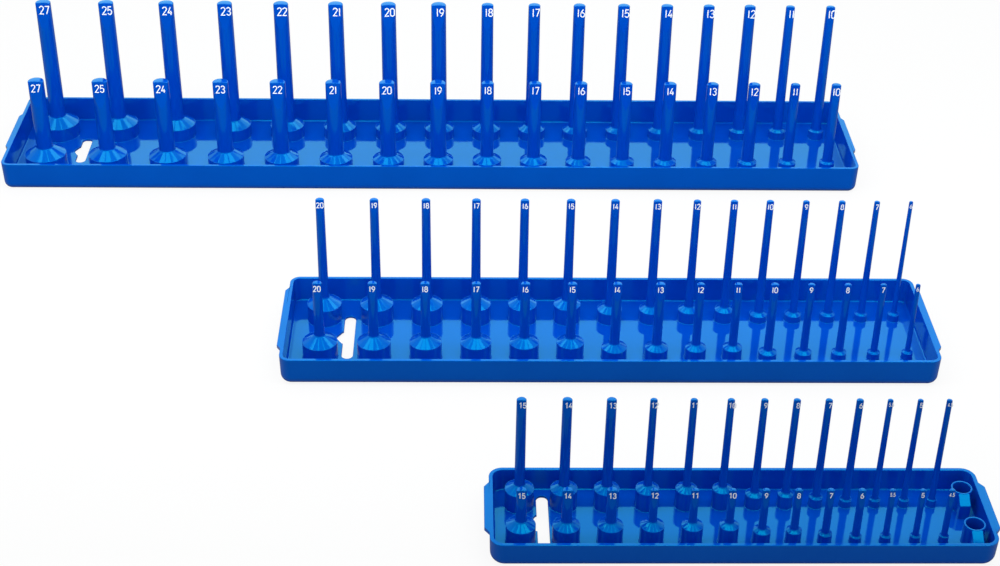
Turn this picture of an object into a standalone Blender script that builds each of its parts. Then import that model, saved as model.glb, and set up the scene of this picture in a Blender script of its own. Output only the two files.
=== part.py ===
"""A set of three socket trays: half-inch, three-eighths-inch and quarter-inch drive.

Each tray is a shallow moulding with two rows of bosses. A boss fills the mouth of its socket and
carries a post: short posts in the front row for standard sockets, tall posts in the back row for
deep ones. The top of each post is cut to a leaning flat for the size mark. The quarter-inch tray
ends in two open tubes with a slanted pad each. Metres, +Z up, X along the trays, Y to the back.
"""

import math

import bpy
import bmesh
from mathutils import Vector

# In a row of three values, the first is the half-inch tray's, the second the
# three-eighths-inch tray's and the third the quarter-inch tray's.
TRAYS = ("half_inch_tray", "three_eighths_inch_tray", "quarter_inch_tray")
DRIVES = ("half", "three_eighths", "quarter")

# Outer sizes of each tray, without the end lugs
LENGTHS = (0.5170, 0.3388, 0.2284)
DEPTHS = (0.0899, 0.0793, 0.0554)
HEIGHTS = (0.0173, 0.0158, 0.0135)
CORNER_RADII = (0.0050, 0.0055, 0.0065)
FOOT_RADII = (0.0042, 0.0045, 0.0050)

# Where the trays stand: the left end of each, from the half-inch tray's left end, and the open
# ground between a tray and the next one in front of it
LEFT_ENDS = (0.0, 0.1840, 0.2898)
GROUND_BETWEEN = (0.1206, 0.0830)

# Moulding
WALL = 0.0019
FLOOR = 0.0022
INNER_FILLET = 0.0012
WALL_DRAFT_SHARE = 0.026

# Flat lugs on both ends, flush with the rim
LUG_OUTS = (0.0016, 0.0019, 0.0023)
LUG_FRONTS = (0.0200, 0.0095, 0.0080)
LUG_BACKS = (0.0680, 0.0700, 0.0460)
LUG_TAPER = 0.0045
LUG_THICKNESS = 0.0018

# Hanging slot through the floor, with a nail notch in its left edge. The floor is thinner around
# it, relieved from below.
SLOT_LEFTS = (0.0375, 0.0302, 0.0222)
SLOT_WIDTHS = (0.0060, 0.0059, 0.0055)
SLOT_FRONTS = (0.0310, 0.0213, 0.0095)
SLOT_BACKS = (0.0612, 0.0609, 0.0483)
NOTCH_PLACES = (0.0461, 0.0408, 0.0288)
NOTCH_DEPTHS = (0.0031, 0.0040, 0.0042)
NOTCH_WIDTH = 0.0128
NOTCH_TIP_LENGTH = 0.0015
SLOT_EDGE = 0.0012
RELIEF_SIDE = 0.0055
RELIEF_END = 0.0015
RELIEF_RADIUS = 0.0020

# Rows of posts
FRONT_ROWS = (0.0270, 0.0232, 0.0159)
BACK_ROWS = (0.0687, 0.0591, 0.0417)
FIRST_POSTS = (0.0215, 0.0194, 0.0142)
SHORT_TOPS = (0.0602, 0.0479, 0.0325)
TALL_TOPS = (0.0925, 0.0760, 0.0633)
SOCKET_GAP = 0.0020
CAP_CHAMFER = 0.0007
POST_TAPER_SHARES = (0.0045, 0.0056, 0.0038)
CONE_RISE_SHARE = 0.62
FLAT_LENGTHS = (0.0160, 0.0095, 0.0095)
FLAT_TOP_SHARE = 0.36
SEAT_GAP = 0.0003

# Size mark, outer diameter of its socket, boss diameter, boss height above the floor up to its
# cone, and post diameter at the boss
HALF_SOCKETS = (
    ("27", 0.0370, 0.0250, 0.0086, 0.0098),
    ("25", 0.0349, 0.0236, 0.0086, 0.0098),
    ("24", 0.0342, 0.0229, 0.0080, 0.0098),
    ("23", 0.0329, 0.0222, 0.0077, 0.0098),
    ("22", 0.0315, 0.0211, 0.0075, 0.0098),
    ("21", 0.0312, 0.0203, 0.0069, 0.0098),
    ("20", 0.0292, 0.0194, 0.0064, 0.0098),
    ("19", 0.0282, 0.0185, 0.0062, 0.0098),
    ("18", 0.0276, 0.0177, 0.0060, 0.0080),
    ("17", 0.0258, 0.0168, 0.0058, 0.0080),
    ("16", 0.0254, 0.0157, 0.0052, 0.0080),
    ("15", 0.0251, 0.0148, 0.0052, 0.0080),
    ("14", 0.0240, 0.0138, 0.0052, 0.0080),
    ("13", 0.0234, 0.0128, 0.0052, 0.0075),
    ("12", 0.0230, 0.0117, 0.0052, 0.0075),
    ("11", 0.0226, 0.0106, 0.0052, 0.0062),
    ("10", 0.0230, 0.0093, 0.0052, 0.0062),
)
THREE_EIGHTHS_SOCKETS = (
    ("20", 0.0268, 0.0183, 0.0098, 0.0052),
    ("19", 0.0252, 0.0176, 0.0098, 0.0052),
    ("18", 0.0245, 0.0169, 0.0098, 0.0052),
    ("17", 0.0237, 0.0162, 0.0098, 0.0052),
    ("16", 0.0225, 0.0154, 0.0098, 0.0052),
    ("15", 0.0214, 0.0144, 0.0098, 0.0052),
    ("14", 0.0206, 0.0134, 0.0067, 0.0052),
    ("13", 0.0194, 0.0123, 0.0067, 0.0052),
    ("12", 0.0177, 0.0112, 0.0067, 0.0046),
    ("11", 0.0168, 0.0103, 0.0067, 0.0046),
    ("10", 0.0166, 0.0095, 0.0039, 0.0046),
    ("9", 0.0169, 0.0088, 0.0039, 0.0042),
    ("8", 0.0165, 0.0079, 0.0039, 0.0042),
    ("7", 0.0159, 0.0066, 0.0039, 0.0037),
    ("6", 0.0155, 0.0059, 0.0039, 0.0028),
)
QUARTER_SOCKETS = (
    ("15", 0.0188, 0.0136, 0.0100, 0.0049),
    ("14", 0.0184, 0.0126, 0.0100, 0.0049),
    ("13", 0.0174, 0.0118, 0.0100, 0.0049),
    ("12", 0.0164, 0.0111, 0.0100, 0.0037),
    ("11", 0.0158, 0.0101, 0.0100, 0.0037),
    ("10", 0.0136, 0.0091, 0.0100, 0.0037),
    ("9", 0.0126, 0.0082, 0.0070, 0.0037),
    ("8", 0.0126, 0.0073, 0.0070, 0.0037),
    ("7", 0.0122, 0.0064, 0.0052, 0.0037),
    ("6", 0.0118, 0.0056, 0.0038, 0.0037),
    ("5.5", 0.0116, 0.0052, 0.0038, 0.0030),
    ("5", 0.0116, 0.0049, 0.0038, 0.0030),
    ("4.5", 0.0106, 0.0045, 0.0038, 0.0030),
)
SOCKETS = (HALF_SOCKETS, THREE_EIGHTHS_SOCKETS, QUARTER_SOCKETS)

# Open tubes at the right end of the quarter-inch tray, each with a slanted pad in front
TUBE_OUTER = 0.0099
TUBE_BORE = 0.0081
TUBE_RISE = 0.0107
TUBE_END_GAP = 0.0015
PAD_WIDTH = 0.0052
PAD_RUN = 0.0049
PAD_DROP = 0.0034

# Facets
CORNER_STEPS = 4
FOOT_STEPS = 3
FILLET_STEPS = 2
BIG_BOSS = 0.0170
BIG_SIDES = 16
SMALL_SIDES = 12
TALL_SIDES = 12
TUBE_SIDES = 20
SMOOTH_ANGLE = math.radians(35.0)

# How far a cutter runs past what it cuts, how deep a joined shape reaches into what carries
# it, and the distance at which the points of a turned shape become one
OVERRUN = 0.0010
SINK = 0.0010
WELD = 0.00001

BLUE = (0.004, 0.085, 0.460, 1.0)
ROUGHNESS = 0.22


def remove_everything():
    for thing in list(bpy.data.objects):
        bpy.data.objects.remove(thing, do_unlink=True)


def new_collection(name):
    collection = bpy.data.collections.new(name)
    bpy.context.scene.collection.children.link(collection)
    return collection


def blue_plastic(name):
    material = bpy.data.materials.new(name)
    material.use_nodes = True
    shader = material.node_tree.nodes["Principled BSDF"]
    shader.inputs["Base Color"].default_value = BLUE
    shader.inputs["Roughness"].default_value = ROUGHNESS
    shader.inputs["Metallic"].default_value = 0.0
    return material


def new_object(name, mesh, collection, frame):
    thing = bpy.data.objects.new(name, mesh)
    collection.objects.link(thing)
    thing.parent = frame
    return thing


def object_from(name, bm, collection, frame):
    mesh = bpy.data.meshes.new(name)
    bm.to_mesh(mesh)
    bm.free()
    return new_object(name, mesh, collection, frame)


def as_cutter(thing):
    thing.hide_render = True
    thing.display_type = "WIRE"
    return thing


def settled_mesh(thing):
    """The mesh that the object's modifiers make."""
    graph = bpy.context.evaluated_depsgraph_get()
    return bpy.data.meshes.new_from_object(thing.evaluated_get(graph))


def boolean(thing, other, operation):
    modifier = thing.modifiers.new(other.name, "BOOLEAN")
    modifier.operation = operation
    modifier.object = other
    modifier.solver = "EXACT"


def finish(thing, material):
    """Bakes the modifiers, then shades the round faces smooth and keeps the edges crisp."""
    mesh = settled_mesh(thing)
    thing.modifiers.clear()
    thing.data = mesh
    mesh.materials.clear()
    mesh.materials.append(material)
    mesh.shade_smooth()
    mesh.set_sharp_from_angle(angle=SMOOTH_ANGLE)


def box(bm, low, high):
    """Adds a box between two corners and returns its vertices."""
    low = Vector(low)
    high = Vector(high)
    made = bmesh.ops.create_cube(bm, size=1.0)["verts"]
    bmesh.ops.scale(bm, verts=made, vec=high - low)
    bmesh.ops.translate(bm, verts=made, vec=(low + high) / 2)
    return made


def tub(low, high, draft_share, corner_radius, foot_radius, foot_steps):
    """A block that widens upwards, with round corners in plan and a round edge at its foot.

    low and high are its corners as measured at the top.
    """
    bm = bmesh.new()
    middle = (Vector(low) + Vector(high)) / 2
    inset = draft_share * (high[2] - low[2])
    for vertex in box(bm, low, high):
        if vertex.co.z < middle.z:
            vertex.co.x += math.copysign(inset, middle.x - vertex.co.x)
            vertex.co.y += math.copysign(inset, middle.y - vertex.co.y)
    upright = [e for e in bm.edges if abs(e.verts[0].co.z - e.verts[1].co.z) > foot_radius]
    bmesh.ops.bevel(
        bm, geom=upright, offset=corner_radius, segments=CORNER_STEPS, profile=0.5,
        affect="EDGES",
    )
    foot = [e for e in bm.edges if max(v.co.z for v in e.verts) < middle.z]
    bmesh.ops.bevel(
        bm, geom=foot, offset=foot_radius, segments=foot_steps, profile=0.5, affect="EDGES",
    )
    return bm


def turned_mesh(name, profile, sides, collection):
    """A closed body turned about Z from (radius, height) points, given from the top down."""
    mesh = bpy.data.meshes.new(name)
    points = [(radius, 0.0, height) for radius, height in profile]
    mesh.from_pydata(points, [(i, i + 1) for i in range(len(points) - 1)], [])
    thing = new_object(name, mesh, collection, None)
    screw = thing.modifiers.new("Turn", "SCREW")
    screw.steps = sides
    screw.render_steps = sides
    screw.use_merge_vertices = True
    screw.merge_threshold = WELD
    made = settled_mesh(thing)
    bpy.data.objects.remove(thing, do_unlink=True)
    return made


def post_places(tray):
    """Distance of each post from the tray's left end: sockets stand a finger gap apart."""
    place = FIRST_POSTS[tray]
    places = [place]
    for before, after in zip(SOCKETS[tray], SOCKETS[tray][1:]):
        place += (before[1] + after[1]) / 2 + SOCKET_GAP
        places.append(place)
    return places


def seat_height(socket):
    """Height at which a boss's cone ends and its post begins."""
    _, _, boss, boss_height, post = socket
    return FLOOR + boss_height + CONE_RISE_SHARE * (boss - post) / 2


def post_radius(tray, socket, height):
    """Radius of a tapering post at a height above the ground."""
    return socket[4] / 2 - POST_TAPER_SHARES[tray] * (height - seat_height(socket))


def post_profile(tray, socket, top):
    """The post's outline from the middle of its cap down to its seat."""
    seat = seat_height(socket)
    shoulder = top - CAP_CHAMFER
    return [
        (0.0, top),
        (post_radius(tray, socket, top) - CAP_CHAMFER, top),
        (post_radius(tray, socket, shoulder), shoulder),
        (socket[4] / 2, seat),
    ]


def boss_profile(socket):
    """The boss's outline from the foot of its cone down into the floor."""
    radius = socket[2] / 2
    return [
        (radius, FLOOR + socket[3]),
        (radius, FLOOR - SINK),
        (0.0, FLOOR - SINK),
    ]


def flat_line(tray, socket, top):
    """Two points of a post's flat in its middle plane: at the cap, and where it runs out."""
    upper = Vector((0.0, -FLAT_TOP_SHARE * post_radius(tray, socket, top), top))
    foot = top - FLAT_LENGTHS[tray]
    lower = Vector((0.0, -post_radius(tray, socket, foot), foot))
    return upper, lower


def boss_sides(socket):
    return BIG_SIDES if socket[2] > BIG_BOSS else SMALL_SIDES


def add_turned(bm, mesh, x, y):
    """Adds a turned mesh to a larger one, standing at x and y."""
    before = len(bm.verts)
    bm.from_mesh(mesh)
    bm.verts.ensure_lookup_table()
    bmesh.ops.translate(bm, verts=bm.verts[before:], vec=(x, y, 0.0))
    bpy.data.meshes.remove(mesh)


def bosses(tray, collection, frame):
    """Every boss of a tray, with the short posts in the front row, as one set of shapes."""
    bm = bmesh.new()
    for socket, x in zip(SOCKETS[tray], post_places(tray)):
        sides = boss_sides(socket)
        front = post_profile(tray, socket, SHORT_TOPS[tray]) + boss_profile(socket)
        back = [(0.0, seat_height(socket)), (socket[4] / 2, seat_height(socket))]
        back += boss_profile(socket)
        add_turned(bm, turned_mesh("front boss", front, sides, collection), x, FRONT_ROWS[tray])
        add_turned(bm, turned_mesh("back boss", back, sides, collection), x, BACK_ROWS[tray])
    return as_cutter(object_from(f"{DRIVES[tray]} bosses", bm, collection, frame))


def flat_cutters(tray, collection, frame):
    """A slanted block in front of each short post's top."""
    bm = bmesh.new()
    top = SHORT_TOPS[tray]
    for socket, x in zip(SOCKETS[tray], post_places(tray)):
        upper, lower = flat_line(tray, socket, top)
        lean = (upper - lower) / (upper.z - lower.z)
        reach = socket[4] + OVERRUN
        made = box(
            bm,
            (x - reach, FRONT_ROWS[tray] - reach, lower.z - OVERRUN),
            (x + reach, FRONT_ROWS[tray], top + OVERRUN),
        )
        for vertex in made:
            if vertex.co.y > FRONT_ROWS[tray] - reach / 2:
                vertex.co.y = FRONT_ROWS[tray] + lower.y + lean.y * (vertex.co.z - lower.z)
    return as_cutter(object_from(f"{DRIVES[tray]} flats", bm, collection, frame))


def lugs(tray, collection, frame):
    """The two flat lugs, reaching into the end walls."""
    bm = bmesh.new()
    half = LENGTHS[tray] / 2
    inner = half - WALL / 2
    outer = half + LUG_OUTS[tray]
    top = HEIGHTS[tray]
    for side in (-1, 1):
        ends = sorted((half + side * inner, half + side * outer))
        made = box(
            bm,
            (ends[0], LUG_FRONTS[tray], top - LUG_THICKNESS),
            (ends[1], LUG_BACKS[tray], top),
        )
        middle = (LUG_FRONTS[tray] + LUG_BACKS[tray]) / 2
        for vertex in made:
            if abs(vertex.co.x - half) > half:
                vertex.co.y += math.copysign(LUG_TAPER, middle - vertex.co.y)
    return as_cutter(object_from(f"{DRIVES[tray]} lugs", bm, collection, frame))


def upright_block(low, high, corner_length, steps):
    """A block whose upright edges are rounded, each from corner_length before its corner."""
    bm = bmesh.new()
    box(bm, low, high)
    upright = [e for e in bm.edges if abs(e.verts[0].co.z - e.verts[1].co.z) > WELD]
    bmesh.ops.bevel(
        bm, geom=upright, offset=corner_length, segments=steps, profile=0.5, affect="EDGES",
    )
    return bm


def slot_cutter(tray, collection, frame):
    """A block with round ends in plan, as wide as the slot."""
    left = SLOT_LEFTS[tray]
    right = left + SLOT_WIDTHS[tray]
    bm = upright_block(
        (left, SLOT_FRONTS[tray], -OVERRUN), (right, SLOT_BACKS[tray], FLOOR + OVERRUN),
        SLOT_WIDTHS[tray] / 2 - WELD, CORNER_STEPS,
    )
    return as_cutter(object_from(f"{DRIVES[tray]} slot", bm, collection, frame))


def relief_cutter(tray, collection, frame):
    """A flat block that thins the floor around the slot and its notch from below."""
    left = SLOT_LEFTS[tray] - RELIEF_SIDE
    right = SLOT_LEFTS[tray] + SLOT_WIDTHS[tray] + RELIEF_SIDE
    bm = upright_block(
        (left, SLOT_FRONTS[tray] - RELIEF_END, -OVERRUN),
        (right, SLOT_BACKS[tray] + RELIEF_END, FLOOR - SLOT_EDGE),
        RELIEF_RADIUS, FILLET_STEPS,
    )
    return as_cutter(object_from(f"{DRIVES[tray]} relief", bm, collection, frame))


def notch_cutter(tray, collection, frame):
    """A flat diamond whose left half reaches out of the slot, with its tips rounded."""
    bm = bmesh.new()
    made = bmesh.ops.create_cone(
        bm, cap_ends=True, segments=4, radius1=1.0, radius2=1.0, depth=1.0,
    )["verts"]
    size = (NOTCH_DEPTHS[tray], NOTCH_WIDTH / 2, FLOOR + 2 * OVERRUN)
    bmesh.ops.scale(bm, verts=made, vec=size)
    bmesh.ops.translate(bm, verts=made, vec=(SLOT_LEFTS[tray], NOTCH_PLACES[tray], FLOOR / 2))
    upright = [e for e in bm.edges if abs(e.verts[0].co.z - e.verts[1].co.z) > FLOOR]
    bmesh.ops.bevel(
        bm, geom=upright, offset=NOTCH_TIP_LENGTH, segments=CORNER_STEPS, profile=0.5,
        affect="EDGES",
    )
    return as_cutter(object_from(f"{DRIVES[tray]} notch", bm, collection, frame))


def make_tray(tray, parts, cutters, frame, material):
    length = LENGTHS[tray]
    depth = DEPTHS[tray]
    height = HEIGHTS[tray]
    shell = tub(
        (0.0, 0.0, 0.0), (length, depth, height),
        WALL_DRAFT_SHARE, CORNER_RADII[tray], FOOT_RADII[tray], FOOT_STEPS,
    )
    pocket = tub(
        (WALL, WALL, FLOOR), (length - WALL, depth - WALL, height + OVERRUN),
        WALL_DRAFT_SHARE, CORNER_RADII[tray] - WALL, INNER_FILLET, FILLET_STEPS,
    )
    body = object_from(TRAYS[tray], shell, parts, frame)
    hollow = as_cutter(object_from(f"{DRIVES[tray]} pocket", pocket, cutters, frame))
    boolean(body, hollow, "DIFFERENCE")
    boolean(body, relief_cutter(tray, cutters, frame), "DIFFERENCE")
    boolean(body, slot_cutter(tray, cutters, frame), "DIFFERENCE")
    boolean(body, notch_cutter(tray, cutters, frame), "DIFFERENCE")
    boolean(body, lugs(tray, cutters, frame), "UNION")
    boolean(body, bosses(tray, cutters, frame), "UNION")
    boolean(body, flat_cutters(tray, cutters, frame), "DIFFERENCE")
    finish(body, material)


def make_tall_post(tray, socket, x, parts, frame, material):
    """A tall post, seated on its boss, with its flat cut by one leaning plane."""
    top = TALL_TOPS[tray]
    foot = seat_height(socket) + SEAT_GAP
    profile = post_profile(tray, socket, top)[:-1]
    profile += [(post_radius(tray, socket, foot), foot), (0.0, foot)]
    name = f"{DRIVES[tray]}_deep_post_{socket[0].replace('.', '_')}"
    bm = bmesh.new()
    add_turned(bm, turned_mesh(name, profile, TALL_SIDES, parts), 0.0, 0.0)
    upper, lower = flat_line(tray, socket, top)
    along = upper - lower
    bmesh.ops.bisect_plane(
        bm, geom=bm.verts[:] + bm.edges[:] + bm.faces[:], dist=WELD / 10,
        plane_co=upper, plane_no=(0.0, -along.z, along.y), clear_outer=True,
    )
    open_edges = [edge for edge in bm.edges if edge.is_boundary]
    bmesh.ops.edgeloop_fill(bm, edges=open_edges)
    bmesh.ops.recalc_face_normals(bm, faces=bm.faces[:])
    post = object_from(name, bm, parts, frame)
    post.location = (x, BACK_ROWS[tray], 0.0)
    finish(post, material)


def make_tube(name, y, parts, cutters, frame, material):
    """An open tube on the quarter-inch tray's floor, with a slanted pad in front of it."""
    foot = FLOOR + SEAT_GAP
    top = FLOOR + TUBE_RISE
    outer = TUBE_OUTER / 2
    x = LENGTHS[2] - WALL - TUBE_END_GAP - outer - WELD
    profile = [(0.0, top), (outer, top), (outer, foot), (0.0, foot)]
    bore = [(0.0, top + OVERRUN), (TUBE_BORE / 2, top + OVERRUN)]
    bore += [(TUBE_BORE / 2, foot - OVERRUN), (0.0, foot - OVERRUN)]
    tube = new_object(name, turned_mesh(name, profile, TUBE_SIDES, parts), parts, frame)
    hole = new_object(f"{name} bore", turned_mesh(name, bore, TUBE_SIDES, parts), cutters, frame)
    bm = bmesh.new()
    middle_of_wall = (TUBE_OUTER + TUBE_BORE) / 4
    made = box(
        bm,
        (-PAD_WIDTH / 2, -outer - PAD_RUN, foot + WELD),
        (PAD_WIDTH / 2, -middle_of_wall, top - WELD),
    )
    for vertex in made:
        if vertex.co.y < -outer and vertex.co.z > (foot + top) / 2:
            vertex.co.z -= PAD_DROP
    pad = object_from(f"{name} pad", bm, cutters, frame)
    for thing in (tube, hole, pad):
        thing.location = (x, y, 0.0)
    boolean(tube, as_cutter(pad), "UNION")
    boolean(tube, as_cutter(hole), "DIFFERENCE")
    finish(tube, material)


def tray_corners():
    """Where each tray's front left corner lies when the whole set is centred on the origin."""
    third_back = DEPTHS[2]
    second_front = third_back + GROUND_BETWEEN[1]
    first_front = second_front + DEPTHS[1] + GROUND_BETWEEN[0]
    fronts = (first_front, second_front, 0.0)
    left = min(end - out for end, out in zip(LEFT_ENDS, LUG_OUTS))
    right = max(end + size + out for end, size, out in zip(LEFT_ENDS, LENGTHS, LUG_OUTS))
    middle = ((left + right) / 2, (first_front + DEPTHS[0]) / 2)
    return [(end - middle[0], front - middle[1]) for end, front in zip(LEFT_ENDS, fronts)]


def main():
    remove_everything()
    parts = new_collection("socket tray set")
    cutters = new_collection("cutters")
    for tray, (left, front) in enumerate(tray_corners()):
        frame = bpy.data.objects.new(f"{DRIVES[tray]} frame", None)
        parts.objects.link(frame)
        frame.location = (left, front, 0.0)
        material = blue_plastic(f"{DRIVES[tray]} plastic")
        make_tray(tray, parts, cutters, frame, material)
        for socket, x in zip(SOCKETS[tray], post_places(tray)):
            make_tall_post(tray, socket, x, parts, frame, material)
        if tray == 2:
            make_tube("quarter_tube_front", FRONT_ROWS[2], parts, cutters, frame, material)
            make_tube("quarter_tube_back", BACK_ROWS[2], parts, cutters, frame, material)


main()
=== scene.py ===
"""Looks of a set of three glossy blue socket trays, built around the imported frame.

Each tray of the frame is replaced by a finely rounded moulding: a pan, its bosses with the short
posts, the tall posts, and on the quarter-inch tray two open tubes with slanted pads. The size
marks are thin white prints on the leaning flats of the posts. All lengths are in metres.
"""

import math

import bmesh
import bpy
from mathutils import Matrix, Vector


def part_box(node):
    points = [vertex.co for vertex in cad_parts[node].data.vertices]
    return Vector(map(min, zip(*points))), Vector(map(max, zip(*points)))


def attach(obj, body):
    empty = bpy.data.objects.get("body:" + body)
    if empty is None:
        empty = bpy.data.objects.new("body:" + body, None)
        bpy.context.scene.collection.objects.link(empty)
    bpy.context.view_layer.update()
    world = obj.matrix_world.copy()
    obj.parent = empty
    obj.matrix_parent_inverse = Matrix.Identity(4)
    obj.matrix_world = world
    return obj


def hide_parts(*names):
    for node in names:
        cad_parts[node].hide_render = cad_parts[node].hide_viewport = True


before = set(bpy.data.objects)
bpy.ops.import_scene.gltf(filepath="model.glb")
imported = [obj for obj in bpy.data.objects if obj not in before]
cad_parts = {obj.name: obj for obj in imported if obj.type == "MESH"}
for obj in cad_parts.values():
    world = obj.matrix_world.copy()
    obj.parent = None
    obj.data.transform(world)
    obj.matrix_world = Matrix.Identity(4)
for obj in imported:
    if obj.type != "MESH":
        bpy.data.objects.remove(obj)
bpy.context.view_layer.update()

# In a row of three values, the first is the half-inch tray's, the second the
# three-eighths-inch tray's and the third the quarter-inch tray's.
TRAYS = ("half_inch", "three_eighths_inch", "quarter_inch")
DRIVES = ("half", "three_eighths", "quarter")

# Moulding, as the frame has it, apart from the inner fillet, which is smaller here
HEIGHTS = (0.0173, 0.0158, 0.0135)
CORNER_RADII = (0.0050, 0.0055, 0.0065)
FOOT_RADII = (0.0042, 0.0045, 0.0050)
WALL = 0.0019
FLOOR = 0.0022
INNER_FILLET = 0.0008
WALL_DRAFT = 0.026
LUG_OUTS = (0.0016, 0.0019, 0.0023)
LUG_FRONTS = (0.0200, 0.0095, 0.0080)
LUG_BACKS = (0.0680, 0.0700, 0.0460)
LUG_TAPER = 0.0045
LUG_THICKNESS = 0.0018
SLOT_LEFTS = (0.0375, 0.0302, 0.0222)
SLOT_WIDTHS = (0.0060, 0.0059, 0.0055)
SLOT_FRONTS = (0.0310, 0.0213, 0.0095)
SLOT_BACKS = (0.0612, 0.0609, 0.0483)
NOTCH_PLACES = (0.0461, 0.0408, 0.0288)
NOTCH_DEPTHS = (0.0031, 0.0040, 0.0042)
NOTCH_WIDTH = 0.0128
NOTCH_TIP_LENGTH = 0.0015
SLOT_EDGE = 0.0012
RELIEF_SIDE = 0.0055
RELIEF_END = 0.0015
RELIEF_RADIUS = 0.0020
FRONT_ROWS = (0.0270, 0.0232, 0.0159)
POST_TAPERS = (0.0045, 0.0056, 0.0038)
CONE_RISE = 0.62
FLAT_LENGTHS = (0.0160, 0.0095, 0.0095)
FLAT_TOP = 0.36

# Size mark, boss diameter, boss height above the floor and post diameter at the boss
POSTS = (
    (
        ("27", 0.0250, 0.0086, 0.0098), ("25", 0.0236, 0.0086, 0.0098),
        ("24", 0.0229, 0.0080, 0.0098), ("23", 0.0222, 0.0077, 0.0098),
        ("22", 0.0211, 0.0075, 0.0098), ("21", 0.0203, 0.0069, 0.0098),
        ("20", 0.0194, 0.0064, 0.0098), ("19", 0.0185, 0.0062, 0.0098),
        ("18", 0.0177, 0.0060, 0.0080), ("17", 0.0168, 0.0058, 0.0080),
        ("16", 0.0157, 0.0052, 0.0080), ("15", 0.0148, 0.0052, 0.0080),
        ("14", 0.0138, 0.0052, 0.0080), ("13", 0.0128, 0.0052, 0.0075),
        ("12", 0.0117, 0.0052, 0.0075), ("11", 0.0106, 0.0052, 0.0062),
        ("10", 0.0093, 0.0052, 0.0062),
    ),
    (
        ("20", 0.0183, 0.0098, 0.0052), ("19", 0.0176, 0.0098, 0.0052),
        ("18", 0.0169, 0.0098, 0.0052), ("17", 0.0162, 0.0098, 0.0052),
        ("16", 0.0154, 0.0098, 0.0052), ("15", 0.0144, 0.0098, 0.0052),
        ("14", 0.0134, 0.0067, 0.0052), ("13", 0.0123, 0.0067, 0.0052),
        ("12", 0.0112, 0.0067, 0.0046), ("11", 0.0103, 0.0067, 0.0046),
        ("10", 0.0095, 0.0039, 0.0046), ("9", 0.0088, 0.0039, 0.0042),
        ("8", 0.0079, 0.0039, 0.0042), ("7", 0.0066, 0.0039, 0.0037),
        ("6", 0.0059, 0.0039, 0.0028),
    ),
    (
        ("15", 0.0136, 0.0100, 0.0049), ("14", 0.0126, 0.0100, 0.0049),
        ("13", 0.0118, 0.0100, 0.0049), ("12", 0.0111, 0.0100, 0.0037),
        ("11", 0.0101, 0.0100, 0.0037), ("10", 0.0091, 0.0100, 0.0037),
        ("9", 0.0082, 0.0070, 0.0037), ("8", 0.0073, 0.0070, 0.0037),
        ("7", 0.0064, 0.0052, 0.0037), ("6", 0.0056, 0.0038, 0.0037),
        ("5.5", 0.0052, 0.0038, 0.0030), ("5", 0.0049, 0.0038, 0.0030),
        ("4.5", 0.0045, 0.0038, 0.0030),
    ),
)

# Open tubes and their pads
TUBE_OUTER = 0.0099
TUBE_BORE = 0.0081
PAD_WIDTH = 0.0052
PAD_RUN = 0.0049
PAD_DROP = 0.0034

# Fine rounding that the frame leaves out. CAP_DOME is the share of a cap's radius by which the
# cap falls to its edge.
RIM_ROUND = 0.0003
SLOT_ROUND = 0.00025
CAP_ROUND = 0.0005
CAP_DOME = 0.06
FLAT_ROUND = 0.00018
BOSS_EDGE_ROUND = 0.0003
BOSS_FOOT_FILLET = 0.0003
POST_FILLET = 0.0006

# Steps round corners, feet, roundings and arcs, sides of a round body, and the flats of a cone
# with the narrow edge between two of them
CORNER_STEPS = 12
FOOT_STEPS = 8
ROUND_STEPS = 3
FLAT_ROUND_STEPS = 2
ARC_STEPS = 4
SIDES = 64
FACETS = 18
FACET_EDGE = math.radians(3.4)
SMOOTH_ANGLE = math.radians(32.0)

# How far a cutter runs past what it cuts, how deep a joined shape reaches into what carries
# it, the distance at which points count as one, and the least length of a stroke's step
OVERRUN = 0.0010
SINK = 0.0010
WELD = 0.00001
LEAST_STEP = 1e-9

# Size marks: greatest heights on the tall and on the short posts, strokes as a share of the
# height, widths and spacing as shares of height and width, drops below the cap and shifts to
# the right. A mark is no higher than a share of its post's diameter, and one with a decimal
# point is smaller. Only the quarter-inch tray's ones have a flag.
MARK_HEIGHTS = (0.0053, 0.0032, 0.0029)
SHORT_MARK_HEIGHTS = (0.0049, 0.0033, 0.0029)
MARK_TO_POST = 0.87
POINTED_SCALE = 0.8
MARK_STROKES = (0.115, 0.14, 0.14)
MARK_WIDTH = 0.50
POINTED_WIDTH = 0.36
MARK_SPACING = 0.13
MARK_DROPS = (0.0019, 0.0014, 0.0013)
MARK_SHIFTS = (0.0009, 0.0001, 0.0005)
SHORT_MARK_SHIFTS = (0.0001, -0.0001, 0.0)
PRINT_LIFT = 0.00004
PRINT_SINK = 0.00006
PLAIN_ONE_WIDTH = 0.45
FLAGGED_TRAY = 2

# The photograph's camera, from the front left corner of the half-inch tray
CAMERA_RIGHT = 0.27797
CAMERA_FRONT = 0.93976
CAMERA_HEIGHT = 0.53805
CAMERA_PITCH = math.radians(32.7025)
CAMERA_YAW = math.radians(-1.3799)
CAMERA_ROLL = math.radians(-0.9330)
CAMERA_LENS = 64.20
SENSOR_WIDTH = 36.0
CAMERA_REACH = 20.0

# Noise scales of the plastic's clouding, waviness and grain, and of the ink
CLOUD_SCALE = 38.0
WAVE_SCALE = 160.0
GRAIN_SCALE = 2600.0
SPECK_SCALE = 1800.0

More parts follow.
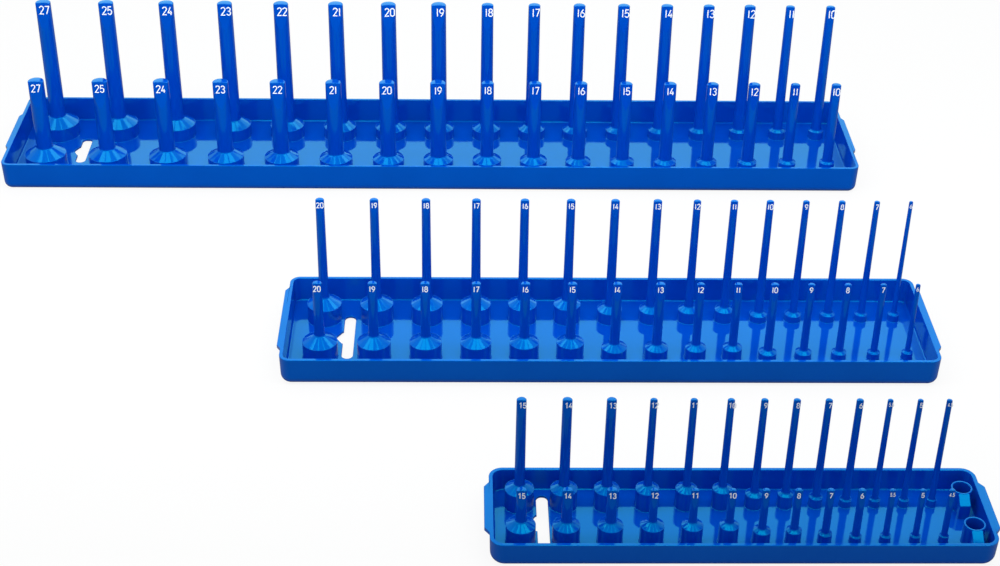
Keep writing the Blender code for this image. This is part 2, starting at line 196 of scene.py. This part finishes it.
# Studio: world strength on the object and as seen directly or in reflections, the tone that
# reflections see, the floor's grey, its glow and the share of it that the camera sees, and
# the row of overhead lights
WORLD_STRENGTH = 0.55
WORLD_SEEN_STRENGTH = 1.0
REFLECTED_TONE = (0.38, 0.98, 0.92, 1.0)
FLOOR_GREY = 0.27
FLOOR_SIZE = 6.0
FLOOR_GLOW = 1.28
FLOOR_GLOW_SHARE = 0.70
OVERHEAD_LIGHTS = 4
OVERHEAD_SPACING = 0.34
OVERHEAD_HEIGHT = 0.85
OVERHEAD_Y = 0.10
OVERHEAD_SIZE = (0.17, 1.1)
OVERHEAD_RADIANCE = 2.0
WHITE = (1.0, 1.0, 1.0)
COOL = (0.5, 0.95, 1.0)

# The other lights: name, place, what it faces, size, radiance, colour, and whether
# reflections show it
LIGHTS = (
    ("key", (0.0, -0.15, 0.40), (0.0, 1.20, 0.0), (1.0, 0.25), 3.4, WHITE, False),
    ("fill", (0.0, -1.60, 0.50), (0.0, 0.0, 0.0), (2.5, 0.8), 0.5, WHITE, False),
    ("back", (0.0, 1.70, 0.85), (0.0, 0.0, 0.1), (2.8, 1.3), 0.7, COOL, True),
)

COLLECTION = bpy.data.collections.new("finish")
bpy.context.scene.collection.children.link(COLLECTION)


def new_piece(name, bm, material):
    """Links a mesh as a piece. Its flat faces shade flat, and only its roundings shade round."""
    draft = bpy.data.meshes.new("draft")
    bm.to_mesh(draft)
    bm.free()
    draft.materials.append(material)
    draft.set_sharp_from_angle(angle=SMOOTH_ANGLE)
    piece = bpy.data.objects.new(name, draft)
    COLLECTION.objects.link(piece)
    weighted = piece.modifiers.new("weighted", "WEIGHTED_NORMAL")
    weighted.keep_sharp = True
    weighted.weight = 100
    graph = bpy.context.evaluated_depsgraph_get()
    mesh = bpy.data.meshes.new_from_object(piece.evaluated_get(graph))
    mesh.name = name
    piece.modifiers.clear()
    piece.data = mesh
    bpy.data.meshes.remove(draft)
    return piece


def smooth(bm):
    for face in bm.faces:
        face.smooth = True


def node_links(material):
    material.use_nodes = True
    tree = material.node_tree
    return tree.nodes, tree.links, tree.nodes["Principled BSDF"]


def blue_plastic():
    """Glossy moulded plastic: an even deep blue, with the faint waviness and clouding of a
    moulded skin."""
    material = bpy.data.materials.new("blue_plastic")
    nodes, links, shader = node_links(material)
    place = nodes.new("ShaderNodeTexCoord")
    cloud = nodes.new("ShaderNodeTexNoise")
    cloud.inputs["Scale"].default_value = CLOUD_SCALE
    cloud.inputs["Detail"].default_value = 3.0
    links.new(place.outputs["Object"], cloud.inputs["Vector"])
    tint = nodes.new("ShaderNodeValToRGB")
    tint.color_ramp.elements[0].position = 0.3
    tint.color_ramp.elements[0].color = (0.000, 0.057, 0.490, 1.0)
    tint.color_ramp.elements[1].position = 0.7
    tint.color_ramp.elements[1].color = (0.000, 0.065, 0.525, 1.0)
    links.new(cloud.outputs["Fac"], tint.inputs["Fac"])
    links.new(tint.outputs["Color"], shader.inputs["Base Color"])
    gloss = nodes.new("ShaderNodeMapRange")
    gloss.inputs["To Min"].default_value = 0.05
    gloss.inputs["To Max"].default_value = 0.09
    links.new(cloud.outputs["Fac"], gloss.inputs["Value"])
    links.new(gloss.outputs["Result"], shader.inputs["Roughness"])
    wave = nodes.new("ShaderNodeTexNoise")
    wave.inputs["Scale"].default_value = WAVE_SCALE
    wave.inputs["Detail"].default_value = 1.0
    links.new(place.outputs["Object"], wave.inputs["Vector"])
    grain = nodes.new("ShaderNodeTexNoise")
    grain.inputs["Scale"].default_value = GRAIN_SCALE
    grain.inputs["Detail"].default_value = 2.0
    links.new(place.outputs["Object"], grain.inputs["Vector"])
    wavy = nodes.new("ShaderNodeBump")
    wavy.inputs["Strength"].default_value = 0.03
    wavy.inputs["Distance"].default_value = 0.0004
    links.new(wave.outputs["Fac"], wavy.inputs["Height"])
    fine = nodes.new("ShaderNodeBump")
    fine.inputs["Strength"].default_value = 0.05
    fine.inputs["Distance"].default_value = 0.00003
    links.new(grain.outputs["Fac"], fine.inputs["Height"])
    links.new(wavy.outputs["Normal"], fine.inputs["Normal"])
    links.new(fine.outputs["Normal"], shader.inputs["Normal"])
    shader.inputs["IOR"].default_value = 1.8
    shader.inputs["Specular Tint"].default_value = (0.0, 0.9, 1.0, 1.0)
    return material


def white_print():
    """Opaque white ink, slightly uneven."""
    material = bpy.data.materials.new("white_print")
    nodes, links, shader = node_links(material)
    place = nodes.new("ShaderNodeTexCoord")
    speck = nodes.new("ShaderNodeTexNoise")
    speck.inputs["Scale"].default_value = SPECK_SCALE
    links.new(place.outputs["Object"], speck.inputs["Vector"])
    tint = nodes.new("ShaderNodeValToRGB")
    tint.color_ramp.elements[0].position = 0.3
    tint.color_ramp.elements[0].color = (0.86, 0.93, 1.00, 1.0)
    tint.color_ramp.elements[1].position = 0.55
    tint.color_ramp.elements[1].color = (0.96, 0.98, 1.0, 1.0)
    links.new(speck.outputs["Fac"], tint.inputs["Fac"])
    links.new(tint.outputs["Color"], shader.inputs["Base Color"])
    shader.inputs["Roughness"].default_value = 0.45
    return material


def box(bm, low, high):
    """Adds a box between two corners and returns its vertices."""
    low = Vector(low)
    high = Vector(high)
    made = bmesh.ops.create_cube(bm, size=1.0)["verts"]
    bmesh.ops.scale(bm, verts=made, vec=high - low)
    bmesh.ops.translate(bm, verts=made, vec=(low + high) / 2)
    return made


def upright_edges(bm, least):
    return [e for e in bm.edges if abs(e.verts[0].co.z - e.verts[1].co.z) > least]


def round_edges(bm, edges, width, steps):
    bmesh.ops.bevel(bm, geom=edges, offset=width, segments=steps, profile=0.5, affect="EDGES")


def tub(low, high, corner_radius, foot_radius, foot_steps):
    """A block that widens upwards, with round corners in plan and a round edge at its foot."""
    bm = bmesh.new()
    middle = (Vector(low) + Vector(high)) / 2
    inset = WALL_DRAFT * (high[2] - low[2])
    for vertex in box(bm, low, high):
        if vertex.co.z < middle.z:
            vertex.co.x += math.copysign(inset, middle.x - vertex.co.x)
            vertex.co.y += math.copysign(inset, middle.y - vertex.co.y)
    round_edges(bm, upright_edges(bm, foot_radius), corner_radius, CORNER_STEPS)
    foot = [e for e in bm.edges if max(v.co.z for v in e.verts) < middle.z]
    round_edges(bm, foot, foot_radius, foot_steps)
    return bm


def object_of(name, bm):
    mesh = bpy.data.meshes.new(name)
    bm.to_mesh(mesh)
    bm.free()
    thing = bpy.data.objects.new(name, mesh)
    COLLECTION.objects.link(thing)
    return thing


def combine(body, steps):
    """Applies Boolean steps, each an operation and its mesh, and returns the result as a bmesh."""
    helpers = []
    for i, (operation, bm) in enumerate(steps):
        helper = object_of(f"helper {i}", bm)
        helpers.append(helper)
        modifier = body.modifiers.new(helper.name, "BOOLEAN")
        modifier.operation = operation
        modifier.object = helper
        modifier.solver = "EXACT"
    graph = bpy.context.evaluated_depsgraph_get()
    mesh = bpy.data.meshes.new_from_object(body.evaluated_get(graph))
    bm = bmesh.new()
    bm.from_mesh(mesh)
    bpy.data.meshes.remove(mesh)
    for thing in [body, *helpers]:
        bpy.data.objects.remove(thing, do_unlink=True)
    return bm


def crisp_edges_at(bm, height):
    """Edges at a height where two faces meet at a clear angle."""
    return [
        e for e in bm.edges
        if all(abs(v.co.z - height) < WELD for v in e.verts)
        and len(e.link_faces) == 2
        and e.calc_face_angle(0.0) > SMOOTH_ANGLE
    ]


def place_of(tray):
    """The tray's front left corner, its length and its depth, from the frame."""
    low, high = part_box(f"{TRAYS[tray]}_tray")
    left = low.x + LUG_OUTS[tray]
    return Vector((left, low.y, 0.0)), high.x - low.x - 2 * LUG_OUTS[tray], high.y - low.y


def lug_mesh(tray, length):
    bm = bmesh.new()
    half = length / 2
    top = HEIGHTS[tray]
    middle = (LUG_FRONTS[tray] + LUG_BACKS[tray]) / 2
    for side in (-1, 1):
        ends = sorted((half + side * (half - WALL / 2), half + side * (half + LUG_OUTS[tray])))
        made = box(
            bm,
            (ends[0], LUG_FRONTS[tray], top - LUG_THICKNESS),
            (ends[1], LUG_BACKS[tray], top),
        )
        for vertex in made:
            if abs(vertex.co.x - half) > half:
                vertex.co.y += math.copysign(LUG_TAPER, middle - vertex.co.y)
    return bm


def upright_block(low, high, corner_length, steps):
    bm = bmesh.new()
    box(bm, low, high)
    round_edges(bm, upright_edges(bm, WELD), corner_length, steps)
    return bm


def slot_mesh(tray):
    right = SLOT_LEFTS[tray] + SLOT_WIDTHS[tray]
    return upright_block(
        (SLOT_LEFTS[tray], SLOT_FRONTS[tray], -OVERRUN),
        (right, SLOT_BACKS[tray], FLOOR + OVERRUN),
        SLOT_WIDTHS[tray] / 2 - WELD, CORNER_STEPS,
    )


def relief_mesh(tray):
    left = SLOT_LEFTS[tray] - RELIEF_SIDE
    right = SLOT_LEFTS[tray] + SLOT_WIDTHS[tray] + RELIEF_SIDE
    return upright_block(
        (left, SLOT_FRONTS[tray] - RELIEF_END, -OVERRUN),
        (right, SLOT_BACKS[tray] + RELIEF_END, FLOOR - SLOT_EDGE),
        RELIEF_RADIUS, FOOT_STEPS,
    )


def notch_mesh(tray):
    bm = bmesh.new()
    made = bmesh.ops.create_cone(
        bm, cap_ends=True, segments=4, radius1=1.0, radius2=1.0, depth=1.0,
    )["verts"]
    size = (NOTCH_DEPTHS[tray], NOTCH_WIDTH / 2, FLOOR + 2 * OVERRUN)
    bmesh.ops.scale(bm, verts=made, vec=size)
    bmesh.ops.translate(bm, verts=made, vec=(SLOT_LEFTS[tray], NOTCH_PLACES[tray], FLOOR / 2))
    round_edges(bm, upright_edges(bm, FLOOR), NOTCH_TIP_LENGTH, FOOT_STEPS)
    return bm


def pan(tray, corner, length, depth, material):
    """Floor and walls, with the hanging slot, the lugs and softly rounded rims."""
    height = HEIGHTS[tray]
    shell = tub(
        (0.0, 0.0, 0.0), (length, depth, height), CORNER_RADII[tray], FOOT_RADII[tray], FOOT_STEPS,
    )
    pocket = tub(
        (WALL, WALL, FLOOR), (length - WALL, depth - WALL, height + OVERRUN),
        CORNER_RADII[tray] - WALL, INNER_FILLET, FOOT_STEPS,
    )
    bm = combine(
        object_of("shell", shell),
        (
            ("DIFFERENCE", pocket),
            ("DIFFERENCE", relief_mesh(tray)),
            ("DIFFERENCE", slot_mesh(tray)),
            ("DIFFERENCE", notch_mesh(tray)),
            ("UNION", lug_mesh(tray, length)),
        ),
    )
    round_edges(bm, crisp_edges_at(bm, height), RIM_ROUND, ROUND_STEPS)
    round_edges(bm, crisp_edges_at(bm, FLOOR), SLOT_ROUND, ROUND_STEPS)
    bmesh.ops.translate(bm, verts=bm.verts[:], vec=corner)
    smooth(bm)
    piece = new_piece(f"{TRAYS[tray]}_pan", bm, material)
    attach(piece, f"{TRAYS[tray]}_set")
    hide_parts(f"{TRAYS[tray]}_tray")


def arc(middle, radius, start, end, steps):
    """Points on an arc in the profile plane, angles in degrees."""
    points = []
    for i in range(steps + 1):
        angle = math.radians(start + (end - start) * i / steps)
        points.append((middle[0] + radius * math.cos(angle), middle[1] + radius * math.sin(angle)))
    return points


def round_angles(sides):
    return [2 * math.pi * (i + 0.5) / sides for i in range(sides)]


def facet_angles():
    """Corners of broad flats round a cone, with a narrow rounded edge between each two."""
    step = 2 * math.pi / FACETS
    angles = []
    for i in range(FACETS):
        start = step * (i + 0.5)
        angles += [start + FACET_EDGE / 2, start + step - FACET_EDGE / 2]
    return angles


def lathe(bm, profile, x, y, angles):
    """Adds a body turned about an upright axis from (radius, height) points, top to bottom."""
    sides = len(angles)
    rings = []
    for radius, height in profile:
        if radius <= 0.0:
            rings.append([bm.verts.new((x, y, height))])
            continue
        ring = []
        for angle in angles:
            ring.append(bm.verts.new((
                x + radius * math.cos(angle), y + radius * math.sin(angle), height,
            )))
        rings.append(ring)
    for upper, lower in zip(rings, rings[1:]):
        for i in range(sides):
            j = (i + 1) % sides
            corners = [upper[i % len(upper)], lower[i % len(lower)],
                       lower[j % len(lower)], upper[j % len(upper)]]
            unique = list(dict.fromkeys(corners))
            if len(unique) > 2:
                bm.faces.new(unique).smooth = True


def seat_height(post):
    return FLOOR + post[2] + CONE_RISE * (post[1] - post[3]) / 2


def post_radius(tray, post, height):
    return post[3] / 2 - POST_TAPERS[tray] * (height - seat_height(post))


def bend_points(start, bend, end, steps):
    """Points on a smooth curve from start to end that leans towards bend."""
    points = []
    for i in range(steps + 1):
        share = i / steps
        points.append(tuple(start.lerp(bend, share).lerp(bend.lerp(end, share), share)))
    return points


def add_boss(bm, post, x, y):
    """A boss: a round side with a small fillet at its foot, and above it a cone of broad flats
    with a softened lower edge and a small fillet up to the post."""
    radius = post[1] / 2
    inner = post[3] / 2
    edge = FLOOR + post[2]
    seat = seat_height(post)
    foot = BOSS_FOOT_FILLET
    side = [(0.0, edge), (radius, edge)]
    side += arc((radius + foot, FLOOR + foot), foot, 180.0, 270.0, ARC_STEPS)
    side += [(radius + foot, FLOOR - SINK / 2), (0.0, FLOOR - SINK / 2)]
    lathe(bm, side, x, y, round_angles(SIDES))
    slope = Vector((radius - inner, edge - seat)).normalized()
    fillet = min(POST_FILLET, (radius - inner) / 2)
    rounding = min(BOSS_EDGE_ROUND, (radius - inner) / 3)
    upper = Vector((inner, seat))
    lower = Vector((radius, edge))
    cone = [(0.0, seat + fillet)]
    cone += bend_points(
        upper + Vector((0.0, fillet)), upper, upper + slope * fillet, ARC_STEPS,
    )
    cone += bend_points(
        lower - slope * rounding, lower, lower - Vector((0.0, rounding)), ARC_STEPS,
    )
    cone.append((0.0, edge - rounding))
    lathe(bm, cone, x, y, facet_angles())


def post_profile(tray, post, top):
    """The cap, its rounded edge and the start of the tapering side."""
    cap = post_radius(tray, post, top)
    rounding = min(CAP_ROUND, cap / 3)
    edge = cap - rounding
    fall = CAP_DOME * cap
    points = [(edge * i / ARC_STEPS, top - fall * (i / ARC_STEPS) ** 2) for i in range(ARC_STEPS)]
    points += arc((edge, top - fall - rounding), rounding, 90.0, 0.0, ARC_STEPS)
    return points


def flat_line(tray, post, top, x, y):
    """Two points of a post's flat in its middle plane: at the cap, and where it runs out."""
    upper = Vector((x, y - FLAT_TOP * post_radius(tray, post, top), top))
    foot = top - FLAT_LENGTHS[tray]
    lower = Vector((x, y - post_radius(tray, post, foot), foot))
    return upper, lower


def cut_flat(bm, tray, post, top, x, y):
    """Cuts a post's leaning flat, in a mesh that holds this post alone, and rounds its edge."""
    upper, lower = flat_line(tray, post, top, x, y)
    along = upper - lower
    bmesh.ops.bisect_plane(
        bm, geom=bm.verts[:] + bm.edges[:] + bm.faces[:], dist=WELD / 100,
        plane_co=upper, plane_no=(0.0, -along.z, along.y), clear_outer=True,
    )
    rim = [edge for edge in bm.edges if edge.is_boundary]
    filled = bmesh.ops.edgeloop_fill(bm, edges=rim)["faces"]
    bmesh.ops.recalc_face_normals(bm, faces=bm.faces[:])
    round_edges(bm, list({e for f in filled for e in f.edges}), FLAT_ROUND, FLAT_ROUND_STEPS)
    smooth(bm)


def join(bm, other):
    """Adds another mesh to bm and frees it."""
    mesh = bpy.data.meshes.new("part")
    other.to_mesh(mesh)
    other.free()
    bm.from_mesh(mesh)
    bpy.data.meshes.remove(mesh)


def post_mesh(tray, post, top, foot, x, y):
    """A post from its cap down to foot, with its flat."""
    bm = bmesh.new()
    profile = post_profile(tray, post, top)
    low = post_radius(tray, post, foot)
    profile += [(low, foot), (0.0, foot)]
    lathe(bm, profile, x, y, round_angles(SIDES))
    cut_flat(bm, tray, post, top, x, y)
    return bm


def digit_strokes(digit, flagged):
    """Centre lines of a digit that is 1 wide and 1 high, each a list of points and whether it
    closes on itself."""

    def curve(cx, cy, rx, ry, start, end, steps=12):
        angles = [math.radians(start + (end - start) * i / steps) for i in range(steps + 1)]
        return [(cx + rx * math.cos(a), cy + ry * math.sin(a)) for a in angles]

    if digit == "0":
        return [(curve(0.5, 0.76, 0.5, 0.24, 0, 180) + curve(0.5, 0.24, 0.5, 0.24, 180, 360), True)]
    if digit == "1":
        if flagged:
            return [([(0.12, 0.80), (0.62, 1.0), (0.62, 0.0)], False)]
        return [([(0.5, 1.0), (0.5, 0.0)], False)]
    if digit == "2":
        return [(curve(0.5, 0.76, 0.5, 0.24, 172, -32) + [(0.02, 0.0), (1.0, 0.0)], False)]
    if digit == "3":
        upper = curve(0.5, 0.765, 0.46, 0.235, 160, -90)
        lower = curve(0.5, 0.265, 0.5, 0.265, 90, -160)
        return [(upper + lower[1:], False)]
    if digit == "4":
        return [
            ([(0.62, 1.0), (0.0, 0.26), (1.0, 0.26)], False),
            ([(0.72, 0.52), (0.72, 0.0)], False),
        ]
    if digit == "5":
        bowl = curve(0.48, 0.31, 0.52, 0.31, 128, -155)
        return [([(0.92, 1.0), (0.14, 1.0), (0.06, 0.52)] + bowl, False)]
    if digit in "69":
        loop = curve(0.5, 0.29, 0.5, 0.29, 0, 360, 20)[:-1]
        stem = [(0.0, 0.30), (0.04, 0.48), (0.26, 0.72), (0.70, 1.0)]
        if digit == "6":
            return [(loop, True), (stem, False)]
        return [
            ([(1 - x, 1 - y) for x, y in line], closed)
            for line, closed in ((loop, True), (stem, False))
        ]
    if digit == "7":
        return [([(0.0, 1.0), (1.0, 1.0), (0.34, 0.0)], False)]
    if digit == "8":
        return [
            (curve(0.5, 0.77, 0.44, 0.23, 0, 360, 18)[:-1], True),
            (curve(0.5, 0.27, 0.5, 0.27, 0, 360, 20)[:-1], True),
        ]
    return [([(0.5, -0.02), (0.5, 0.06)], False)]


def ribbon(bm, points, closed, half, to_world):
    """A thin flat band along a centre line, its top lifted and its underside sunk."""
    line = [Vector(p) for p in points]
    count = len(line)
    sides = []
    for i, here in enumerate(line):
        before = line[i - 1] if i > 0 or closed else None
        after = line[(i + 1) % count] if i < count - 1 or closed else None
        ways = []
        if before is not None and (here - before).length > LEAST_STEP:
            ways.append((here - before).normalized())
        if after is not None and (after - here).length > LEAST_STEP:
            ways.append((after - here).normalized())
        way = sum(ways, Vector((0.0, 0.0))).normalized()
        reach = half / max(0.5, way.dot(ways[0]))
        normal = Vector((-way.y, way.x)) * reach
        sides.append((here + normal, here - normal))
    rows = []
    for left, right in sides:
        rows.append([
            bm.verts.new(to_world(left, PRINT_LIFT)), bm.verts.new(to_world(right, PRINT_LIFT)),
            bm.verts.new(to_world(right, -PRINT_SINK)), bm.verts.new(to_world(left, -PRINT_SINK)),
        ])
    last = count if closed else count - 1
    for i in range(last):
        a, b = rows[i], rows[(i + 1) % count]
        for k in range(4):
            m = (k + 1) % 4
            bm.faces.new((a[k], a[m], b[m], b[k]))
    if not closed:
        bm.faces.new(rows[0][::-1])
        bm.faces.new(rows[-1])


def add_mark(bm, tray, post, top, x, y, height, shift):
    """Prints a post's size on its flat."""
    upper, lower = flat_line(tray, post, top, x, y)
    up = (upper - lower).normalized()
    right = Vector((1.0, 0.0, 0.0))
    out = right.cross(up)
    if out.y > 0:
        out = -out
    pointed = "." in post[0]
    height = min(height, MARK_TO_POST * post[3]) * (POINTED_SCALE if pointed else 1.0)
    stroke = MARK_STROKES[tray] * height
    size = height - stroke
    width = POINTED_WIDTH if pointed else MARK_WIDTH
    flagged = tray == FLAGGED_TRAY
    advances = []
    for letter in post[0]:
        share = 1.0
        if letter == "1" and not flagged:
            share = PLAIN_ONE_WIDTH
        if letter == ".":
            share = 0.0
        advances.append(width * share)
    gap = MARK_SPACING * width + stroke / size
    start = -(sum(advances) + gap * (len(advances) - 1)) / 2
    base = upper - up * (MARK_DROPS[tray] + height - stroke / 2) + right * shift
    for letter, advance in zip(post[0], advances):
        offset = start - (width - advance) / 2
        for line, closed in digit_strokes(letter, flagged):
            def to_world(point, lift, offset=offset):
                return base + right * (point.x + offset * size) + up * point.y + out * lift
            points = [(px * width * size, py * size) for px, py in line]
            ribbon(bm, points, closed, stroke / 2, to_world)
        start += advance + gap


def bosses_and_posts(tray, corner, material, ink):
    """Bosses and short posts as one piece, a piece for each tall post, and the size marks."""
    body = f"{TRAYS[tray]}_set"
    short_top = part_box(f"{TRAYS[tray]}_tray")[1].z
    row_y = corner.y + FRONT_ROWS[tray]
    bosses = bmesh.new()
    marks = bmesh.new()
    for post in POSTS[tray]:
        node = f"{DRIVES[tray]}_deep_post_{post[0].replace('.', '_')}"
        low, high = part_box(node)
        x = (low.x + high.x) / 2
        y = high.y - (high.x - low.x) / 2
        for boss_y in (row_y, y):
            add_boss(bosses, post, x, boss_y)
        foot = seat_height(post) - SINK / 2
        join(bosses, post_mesh(tray, post, short_top, foot, x, row_y))
        tall = post_mesh(tray, post, high.z, foot, x, y)
        piece = new_piece(f"{DRIVES[tray]}_tall_post_{post[0]}", tall, material)
        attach(piece, body)
        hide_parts(node)
        add_mark(marks, tray, post, high.z, x, y, MARK_HEIGHTS[tray], MARK_SHIFTS[tray])
        add_mark(
            marks, tray, post, short_top, x, row_y,
            SHORT_MARK_HEIGHTS[tray], SHORT_MARK_SHIFTS[tray],
        )
    bmesh.ops.recalc_face_normals(marks, faces=marks.faces[:])
    piece = new_piece(f"{TRAYS[tray]}_bosses", bosses, material)
    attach(piece, body)
    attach(new_piece(f"{TRAYS[tray]}_size_marks", marks, ink), body)


def tube(name, material):
    """An open tube with a slanted pad in front, its edges softened."""
    low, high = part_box(name)
    outer = TUBE_OUTER / 2
    x = (low.x + high.x) / 2
    y = high.y - outer
    top = high.z
    bm = bmesh.new()
    bore = TUBE_BORE / 2
    edge = BOSS_EDGE_ROUND
    profile = arc((bore + edge, top - edge), edge, 180.0, 90.0, ARC_STEPS)
    profile += arc((outer - edge, top - edge), edge, 90.0, 0.0, ARC_STEPS)
    foot = BOSS_FOOT_FILLET
    profile += arc((outer + foot, FLOOR + foot), foot, 180.0, 270.0, ARC_STEPS)
    profile += [(outer + foot, FLOOR - SINK / 2), (bore, FLOOR - SINK / 2)]
    profile.append(profile[0])
    lathe(bm, profile, x, y, round_angles(SIDES))
    bmesh.ops.remove_doubles(bm, verts=bm.verts[:], dist=WELD)
    pad = bmesh.new()
    middle_of_wall = (TUBE_OUTER + TUBE_BORE) / 4
    made = box(
        pad,
        (x - PAD_WIDTH / 2, y - outer - PAD_RUN, FLOOR - SINK / 2),
        (x + PAD_WIDTH / 2, y - middle_of_wall, top - WELD),
    )
    for vertex in made:
        if vertex.co.y < y - outer and vertex.co.z > top / 2:
            vertex.co.z -= PAD_DROP
    upright = upright_edges(pad, FLOOR)
    front = [
        e for e in pad.edges
        if min(v.co.z for v in e.verts) > FLOOR
        or (e in upright and max(v.co.y for v in e.verts) < y - outer)
    ]
    round_edges(pad, front, BOSS_EDGE_ROUND, ROUND_STEPS)
    join(bm, pad)
    smooth(bm)
    piece = new_piece(f"{name}_finish", bm, material)
    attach(piece, "quarter_inch_set")
    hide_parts(name)


def studio():
    """A white floor and world, a row of overhead soft lights, a key over the middle that faces
    the half-inch tray, a weak fill from the front, and a cool light behind."""
    scene = bpy.context.scene
    scene.view_settings.view_transform = "Standard"
    world = bpy.data.worlds.new("studio")
    scene.world = world
    world.use_nodes = True
    nodes = world.node_tree.nodes
    links = world.node_tree.links
    background = nodes["Background"]
    path = nodes.new("ShaderNodeLightPath")
    seen = nodes.new("ShaderNodeMath")
    seen.operation = "MAXIMUM"
    links.new(path.outputs["Is Camera Ray"], seen.inputs[0])
    links.new(path.outputs["Is Glossy Ray"], seen.inputs[1])
    level = nodes.new("ShaderNodeMapRange")
    level.inputs["To Min"].default_value = WORLD_STRENGTH
    level.inputs["To Max"].default_value = WORLD_SEEN_STRENGTH
    links.new(seen.outputs["Value"], level.inputs["Value"])
    links.new(level.outputs["Result"], background.inputs["Strength"])
    tone = nodes.new("ShaderNodeMix")
    tone.data_type = "RGBA"
    tone.inputs["A"].default_value = (1.0, 1.0, 1.0, 1.0)
    tone.inputs["B"].default_value = REFLECTED_TONE
    links.new(path.outputs["Is Glossy Ray"], tone.inputs["Factor"])
    links.new(tone.outputs["Result"], background.inputs["Color"])

    floor_bm = bmesh.new()
    bmesh.ops.create_grid(floor_bm, x_segments=1, y_segments=1, size=FLOOR_SIZE)
    floor = object_of("studio_floor", floor_bm)
    floor.location = (0.0, 0.0, -WELD)
    material = bpy.data.materials.new("floor_white")
    nodes, links, shader = node_links(material)
    shader.inputs["Base Color"].default_value = (FLOOR_GREY, FLOOR_GREY, FLOOR_GREY, 1.0)
    shader.inputs["Roughness"].default_value = 0.9
    shader.inputs["Specular IOR Level"].default_value = 0.0
    glow = nodes.new("ShaderNodeEmission")
    mix = nodes.new("ShaderNodeMixShader")
    path = nodes.new("ShaderNodeLightPath")
    share = nodes.new("ShaderNodeMath")
    share.operation = "MULTIPLY"
    share.inputs[1].default_value = FLOOR_GLOW_SHARE
    glow.inputs["Strength"].default_value = FLOOR_GLOW
    links.new(path.outputs["Is Camera Ray"], share.inputs[0])
    links.new(share.outputs["Value"], mix.inputs["Fac"])
    links.new(shader.outputs["BSDF"], mix.inputs[1])
    links.new(glow.outputs["Emission"], mix.inputs[2])
    links.new(mix.outputs["Shader"], nodes["Material Output"].inputs["Surface"])
    floor.data.materials.append(material)

    def soft_light(name, place, aim, size, radiance, color, reflected):
        data = bpy.data.lights.new(name, "AREA")
        data.shape = "RECTANGLE"
        data.size = size[0]
        data.size_y = size[1]
        data.energy = radiance * math.pi * size[0] * size[1]
        data.color = color
        light = bpy.data.objects.new(name, data)
        bpy.context.scene.collection.objects.link(light)
        light.location = Vector(place)
        light.rotation_euler = (Vector(aim) - Vector(place)).to_track_quat("-Z", "Y").to_euler()
        light.visible_camera = False
        light.visible_glossy = reflected

    for i in range(OVERHEAD_LIGHTS):
        x = OVERHEAD_SPACING * (i - (OVERHEAD_LIGHTS - 1) / 2)
        soft_light(
            f"overhead_{i}", (x, OVERHEAD_Y, OVERHEAD_HEIGHT), (x, OVERHEAD_Y, 0.0),
            OVERHEAD_SIZE, OVERHEAD_RADIANCE, WHITE, True,
        )
    for light in LIGHTS:
        soft_light(*light)


def camera(corner):
    data = bpy.data.cameras.new("camera")
    data.lens = CAMERA_LENS
    data.sensor_width = SENSOR_WIDTH
    data.clip_end = CAMERA_REACH
    made = bpy.data.objects.new("camera", data)
    bpy.context.scene.collection.objects.link(made)
    place = corner + Vector((CAMERA_RIGHT, -CAMERA_FRONT, CAMERA_HEIGHT))
    made.matrix_world = (
        Matrix.Translation(place)
        @ Matrix.Rotation(CAMERA_YAW, 4, "Z")
        @ Matrix.Rotation(math.pi / 2 - CAMERA_PITCH, 4, "X")
        @ Matrix.Rotation(-CAMERA_ROLL, 4, "Z")
    )
    bpy.context.scene.camera = made


plastic = blue_plastic()
ink = white_print()
for tray in range(3):
    corner, length, depth = place_of(tray)
    pan(tray, corner, length, depth, plastic)
    bosses_and_posts(tray, corner, plastic, ink)
for name in ("quarter_tube_front", "quarter_tube_back"):
    tube(name, plastic)
studio()
camera(place_of(0)[0])
